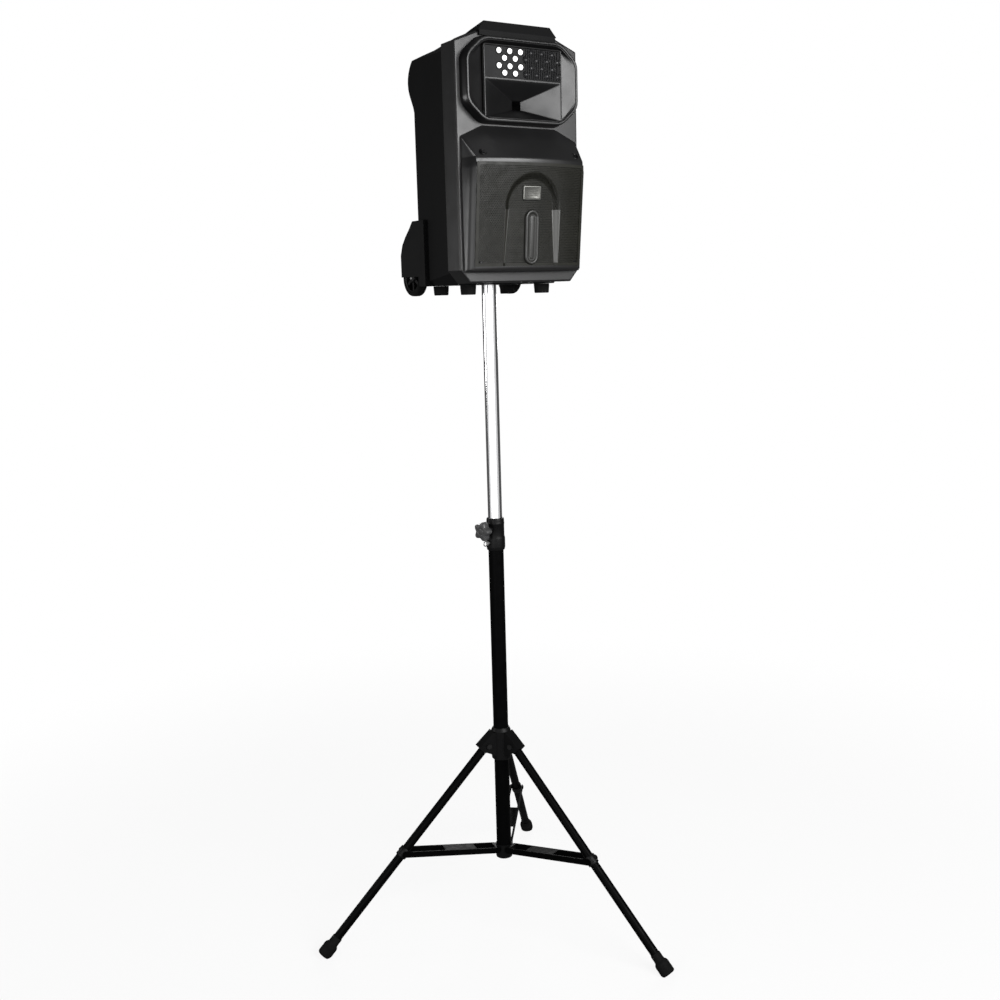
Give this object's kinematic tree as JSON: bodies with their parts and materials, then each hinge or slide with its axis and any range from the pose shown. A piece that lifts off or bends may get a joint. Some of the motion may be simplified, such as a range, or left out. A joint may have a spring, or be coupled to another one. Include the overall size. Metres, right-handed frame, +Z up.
{
  "type": "pa speaker",
  "caption": "Portable trolley PA speaker with a horn, a light window and a bowed grille, on a telescopic pole over a folding tripod stand.",
  "frame": {"origin": "middle of the bottom of the whole box, on the floor; the pole axis stands 82.5 mm towards +X and 41.8 mm towards +Y of it", "axes": "+Z up, along the pole; -Y is the way the speaker faces; +X is to the right seen from the front"},
  "size_m": [0.8258, 0.8638, 2.2],
  "materials": {
    "shell": "fine moulded texture",
    "bezel": "satin moulded",
    "grille": "perforated, satin",
    "gloss": "gloss smoked",
    "badge": "satin plated",
    "powder_coat": "black powder coat",
    "chrome": "polished",
    "rubber": "matt",
    "nylon": "moulded nylon",
    "steel": "zinc plated",
    "cast_iron": "black",
    "aluminium": "anodised dark",
    "board": "solder mask",
    "paper": "pressed paper cone"
  },
  "bodies": {
    "column": {"column_tube": "powder_coat", "collar_clamp": "nylon", "lower_hub": "nylon"},
    "hub": {"tripod_hub": "nylon", "leg_bolt_1": "steel", "leg_bolt_2": "steel", "leg_bolt_3": "steel"},
    "hub_knob": {"hub_knob": "nylon"},
    "collar_knob": {"collar_knob": "nylon"},
    "height_pin": {"height_pin": "steel"},
    "leg_1": {"leg_tube_1": "powder_coat", "leg_foot_1": "rubber", "leg_bracket_1": "nylon"},
    "brace_1": {"brace_1": "powder_coat"},
    "leg_2": {"leg_tube_2": "powder_coat", "leg_foot_2": "rubber", "leg_bracket_2": "nylon"},
    "brace_2": {"brace_2": "powder_coat"},
    "leg_3": {"leg_tube_3": "powder_coat", "leg_foot_3": "rubber", "leg_bracket_3": "nylon"},
    "brace_3": {"brace_3": "powder_coat"},
    "mast": {"mast_tube": "chrome", "mast_foot_plug": "nylon"},
    "mast_cap": {"mast_top_plug": "nylon"},
    "cabinet": {"rear_shell": "shell", "front_bezel": "bezel", "upper_trim": "bezel", "module_frame": "bezel", "grille": "grille", "grille_rib": "grille", "badge_plate": "badge", "horn": "bezel", "compression_driver": "cast_iron", "led_lens": "gloss", "led_board": "board", "woofer_basket": "cast_iron", "carry_handle": "bezel", "pole_socket": "aluminium", "cabinet_foot_1": "rubber", "cabinet_foot_2": "rubber", "cabinet_foot_3": "rubber", "cabinet_foot_4": "rubber", "wheel_axle": "steel", "battery": "nylon", "trolley_rail_left": "powder_coat", "trolley_rail_right": "powder_coat", "amp_panel": "aluminium", "power_inlet": "nylon"},
    "woofer_cone": {"woofer_cone": "paper"},
    "wheel_left": {"wheel_left": "rubber"},
    "wheel_right": {"wheel_right": "rubber"},
    "trolley": {"trolley_rod_left": "chrome", "trolley_rod_right": "chrome", "trolley_grip": "nylon"},
    "trolley_button": {"trolley_button": "gloss"},
    "knob_volume": {"knob_volume": "nylon"},
    "knob_bass": {"knob_bass": "nylon"},
    "knob_treble": {"knob_treble": "nylon"},
    "power_switch": {"power_switch": "gloss"}
  },
  "joints": [
    {"name": "hub_slide", "type": "slide", "parent": "column", "child": "hub", "axis": [0, 0, 1], "range_m": [0, 0.305]},
    {"name": "leg_fold_1", "type": "hinge", "parent": "hub", "child": "leg_1", "pos_m": [0.04349, 0.04872, 0.478], "axis": [-0.1736, -0.9848, 0], "range_deg": [0, 43.7]},
    {"name": "brace_fold_1", "type": "hinge", "parent": "column", "child": "brace_1", "pos_m": [0.05935, 0.04593, 0.19], "axis": [0.1736, 0.9848, 0], "range_deg": [0, 77]},
    {"name": "leg_fold_2", "type": "hinge", "parent": "hub", "child": "leg_2", "pos_m": [0.09603, 0.00464, 0.478], "axis": [0.9397, 0.342, 0], "range_deg": [0, 43.7]},
    {"name": "brace_fold_2", "type": "hinge", "parent": "column", "child": "brace_2", "pos_m": [0.09053, 0.01977, 0.19], "axis": [-0.9397, -0.342, 0], "range_deg": [0, 77]},
    {"name": "leg_fold_3", "type": "hinge", "parent": "hub", "child": "leg_3", "pos_m": [0.10794, 0.07218, 0.478], "axis": [-0.766, 0.6428, 0], "range_deg": [0, 43.7]},
    {"name": "brace_fold_3", "type": "hinge", "parent": "column", "child": "brace_3", "pos_m": [0.0976, 0.05985, 0.19], "axis": [0.766, -0.6428, 0], "range_deg": [0, 77]},
    {"name": "mast_height", "type": "slide", "parent": "column", "child": "mast", "axis": [0, 0, 1], "range_m": [-0.46, 0.2]},
    {"name": "speaker_swivel", "type": "hinge", "parent": "mast", "child": "mast_cap", "pos_m": [0.08249, 0.04185, 1.74], "axis": [0, 0, 1], "continuous": true},
    {"name": "speaker_lift", "type": "slide", "parent": "mast_cap", "child": "cabinet", "axis": [0, 0, 1], "range_m": [0, 0.106]},
    {"name": "collar_knob_turn", "type": "hinge", "parent": "column", "child": "collar_knob", "pos_m": [0.03902, 0.0302, 1.04], "axis": [-0.9659, -0.2588, 0], "continuous": true},
    {"name": "height_pin_pull", "type": "slide", "parent": "column", "child": "height_pin", "axis": [-0.9659, -0.2588, 0], "range_m": [0, 0.012], "stiffness_N_per_m": 400, "springref_m": -0.003},
    {"name": "hub_knob_turn", "type": "hinge", "parent": "hub", "child": "hub_knob", "pos_m": [0.06778, 0.08226, 0.455], "axis": [-0.342, 0.9397, 0], "continuous": true},
    {"name": "wheel_left_spin", "type": "hinge", "parent": "cabinet", "child": "wheel_left", "pos_m": [-0.05251, 0.15985, 1.658], "axis": [1, 0, 0], "continuous": true},
    {"name": "wheel_right_spin", "type": "hinge", "parent": "cabinet", "child": "wheel_right", "pos_m": [0.21749, 0.15985, 1.658], "axis": [1, 0, 0], "continuous": true},
    {"name": "trolley_pull", "type": "slide", "parent": "cabinet", "child": "trolley", "axis": [0, 0, 1], "range_m": [0, 0.33]},
    {"name": "trolley_button_press", "type": "slide", "parent": "trolley", "child": "trolley_button", "axis": [0, 0, -1], "range_m": [0, 0.003], "stiffness_N_per_m": 500, "springref_m": -0.002},
    {"name": "woofer_cone_move", "type": "slide", "parent": "cabinet", "child": "woofer_cone", "axis": [0, 1, 0], "range_m": [-0.004, 0.004], "stiffness_N_per_m": 2500},
    {"name": "knob_volume_turn", "type": "hinge", "parent": "cabinet", "child": "knob_volume", "pos_m": [0.04049, 0.14585, 2.02], "axis": [0, 1, 0], "range_deg": [-150, 150]},
    {"name": "knob_bass_turn", "type": "hinge", "parent": "cabinet", "child": "knob_bass", "pos_m": [0.08249, 0.14585, 2.02], "axis": [0, 1, 0], "range_deg": [-150, 150]},
    {"name": "knob_treble_turn", "type": "hinge", "parent": "cabinet", "child": "knob_treble", "pos_m": [0.12449, 0.14585, 2.02], "axis": [0, 1, 0], "range_deg": [-150, 150]},
    {"name": "power_switch_rock", "type": "hinge", "parent": "cabinet", "child": "power_switch", "pos_m": [0.12049, 0.13615, 1.856], "axis": [-1, 0, 0], "range_deg": [0, 12]}
  ],
  "couplings": [
    {"joint": "leg_fold_1", "follows": "hub_slide", "rad_per_m": 2.495},
    {"joint": "brace_fold_1", "follows": "hub_slide", "rad_per_m": 4.4005},
    {"joint": "leg_fold_2", "follows": "hub_slide", "rad_per_m": 2.495},
    {"joint": "brace_fold_2", "follows": "hub_slide", "rad_per_m": 4.4005},
    {"joint": "leg_fold_3", "follows": "hub_slide", "rad_per_m": 2.495},
    {"joint": "brace_fold_3", "follows": "hub_slide", "rad_per_m": 4.4005}
  ]
}
